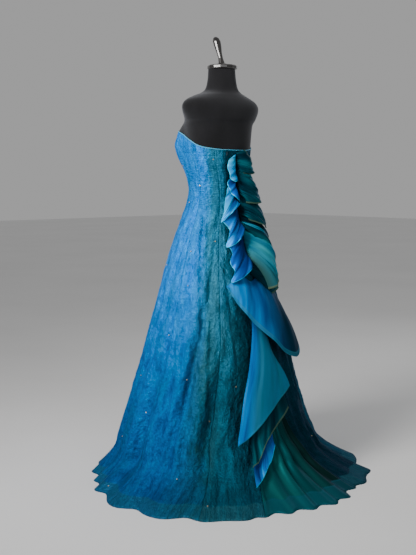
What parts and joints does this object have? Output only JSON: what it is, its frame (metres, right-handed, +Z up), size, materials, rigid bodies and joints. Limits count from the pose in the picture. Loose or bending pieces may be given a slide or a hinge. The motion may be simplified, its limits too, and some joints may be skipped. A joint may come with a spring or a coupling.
{
  "type": "ballroom gown on a limbless dress form",
  "caption": "Strapless floor-length ballroom gown with a short sweep train and a ruffle cascade down its back, standing on a limbless dress form with a pole and round base.",
  "frame": {"origin": "on the floor, on the line of the stand's pole, in the middle of the base's underside", "axes": "+Z up, the gown's front faces -Y, its left side is +X and its train reaches out on every side, furthest to the back"},
  "size_m": [1.156, 1.0982, 1.69],
  "materials": {
    "taffeta": "crinkled shot taffeta, azure",
    "taffeta_shaded": "crinkled shot taffeta, teal",
    "organza": "smooth satin organza, azure",
    "organza_shaded": "smooth satin organza, dark teal",
    "form_cover": "black velvet",
    "lacquer": "black lacquered wood",
    "stand_metal": "black enamel"
  },
  "bodies": {
    "root": {"front_panel": "taffeta", "side_front_left": "taffeta", "side_front_right": "taffeta", "side_back_left": "taffeta", "side_back_right": "taffeta", "back_left": "taffeta_shaded", "back_right": "taffeta_shaded", "centre_back": "taffeta_shaded", "back_godet": "organza_shaded", "zip_placket": "taffeta_shaded", "ruffle_left": "organza", "ruffle_right": "organza_shaded", "ruffle_swag": "organza", "ruffle_tail_upper": "organza", "ruffle_tail_middle": "organza_shaded", "ruffle_tail_lower": "organza", "form_torso": "form_cover", "form_neck_cap": "lacquer", "form_pole": "stand_metal", "form_base": "stand_metal"}
  },
  "joints": []
}
